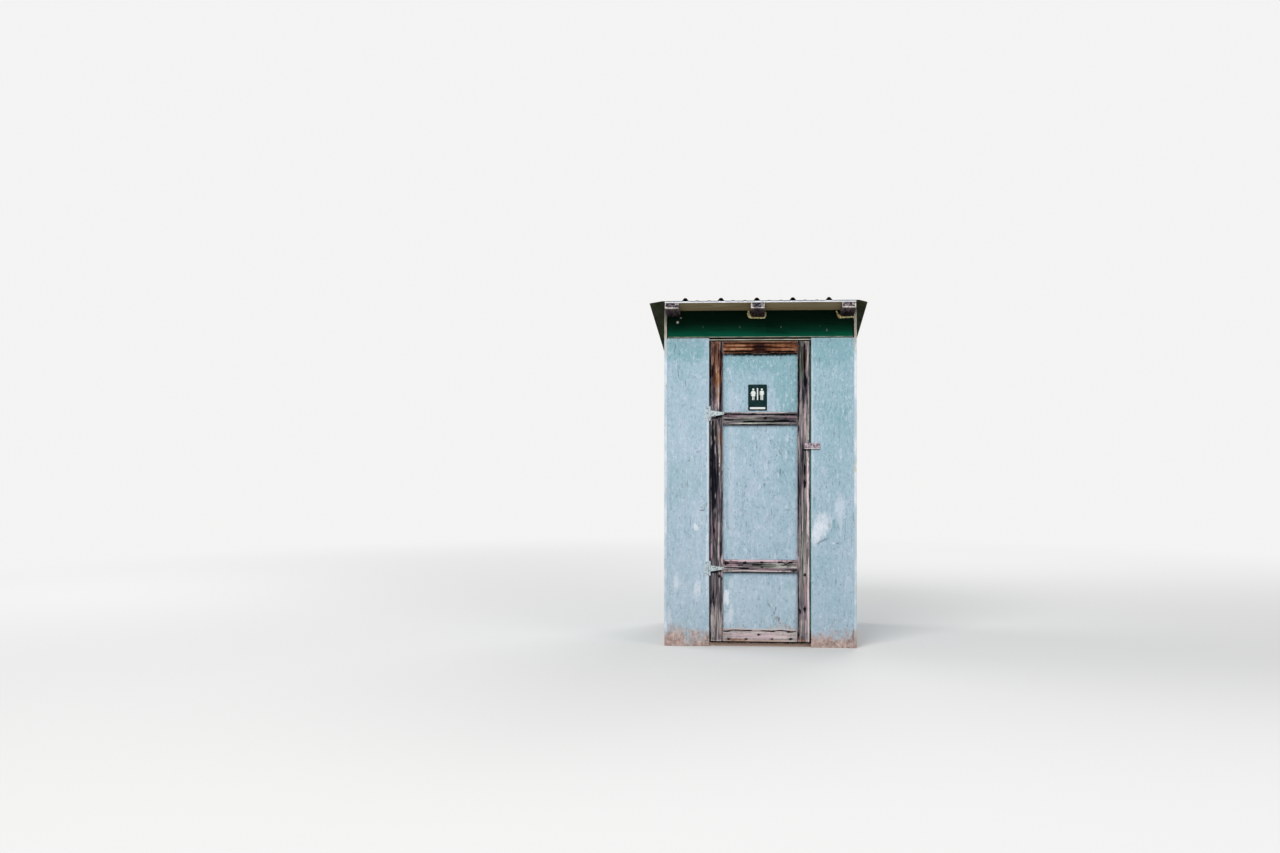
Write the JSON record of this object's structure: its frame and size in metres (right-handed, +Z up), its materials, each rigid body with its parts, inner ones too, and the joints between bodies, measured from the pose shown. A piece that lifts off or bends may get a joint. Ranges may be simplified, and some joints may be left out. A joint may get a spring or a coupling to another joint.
{
  "type": "wooden outhouse",
  "caption": "Small wooden outhouse: plywood walls on a stud frame, single-slope ribbed metal roof, ledged door on strap hinges with a hasp and staple.",
  "frame": {"origin": "on the ground, under the middle of the roof, which is also the middle of the walls in X", "axes": "+Z up, the door faces -Y, +X to the right of someone who looks at the door"},
  "size_m": [1.387, 1.6414, 2.2625],
  "materials": {
    "blue_plywood": "rough plywood with worn pale blue paint",
    "weathered_boards": "weathered grey-brown boards",
    "raw_lumber": "rough-sawn bare lumber",
    "deck_plywood": "bare plywood with knots",
    "green_board": "dark green satin paint on wood",
    "foam": "yellowed expanding foam",
    "flashing": "pale painted steel trim",
    "roof_metal": "galvanised ribbed steel, dull",
    "painted_iron": "steel painted over with the wall",
    "strap_iron": "dull zinc-plated steel",
    "rusty_iron": "rusty steel",
    "sign_plate": "dark green-black plate, white figures"
  },
  "bodies": {
    "building": {"side_wall_left": "blue_plywood", "side_wall_right": "blue_plywood", "back_wall": "blue_plywood", "front_panel_left": "blue_plywood", "front_panel_right": "blue_plywood", "header_board": "green_board", "foam_seal_middle": "foam", "foam_seal_right": "foam", "front_post_left": "raw_lumber", "front_post_right": "raw_lumber", "back_post_left": "raw_lumber", "back_post_right": "raw_lumber", "door_stud_left": "raw_lumber", "door_stud_right": "raw_lumber", "front_header": "raw_lumber", "back_plate": "raw_lumber", "side_girts": "raw_lumber", "back_girt": "raw_lumber", "front_sills": "raw_lumber", "threshold": "raw_lumber", "back_sill": "raw_lumber", "floor_joists": "raw_lumber", "floor": "raw_lumber", "door_stop": "green_board", "rafter_left": "raw_lumber", "rafter_middle": "raw_lumber", "rafter_right": "raw_lumber", "roof_deck": "deck_plywood", "eave_flashings": "flashing", "roof_sheet": "roof_metal", "hinge_plate_upper": "painted_iron", "hinge_plate_lower": "painted_iron", "hasp_staple": "rusty_iron"},
    "door": {"door_panel": "blue_plywood", "door_stile_left": "weathered_boards", "door_stile_right": "weathered_boards", "door_rail_top": "weathered_boards", "door_rail_upper": "weathered_boards", "door_rail_lower": "weathered_boards", "door_rail_bottom": "weathered_boards", "restroom_sign": "sign_plate", "hinge_strap_upper": "strap_iron", "hinge_strap_lower": "strap_iron", "hasp_leaf": "rusty_iron"},
    "hasp": {"hasp_strap": "rusty_iron"}
  },
  "joints": [
    {"name": "door_swing", "type": "hinge", "parent": "building", "child": "door", "pos_m": [-0.314, -0.615, 1], "axis": [0, 0, -1], "range_deg": [0, 170]},
    {"name": "hasp_swing", "type": "hinge", "parent": "door", "child": "hasp", "pos_m": [0.3345, -0.6155, 1.313], "axis": [0, 0, -1], "range_deg": [0, 170]}
  ]
}
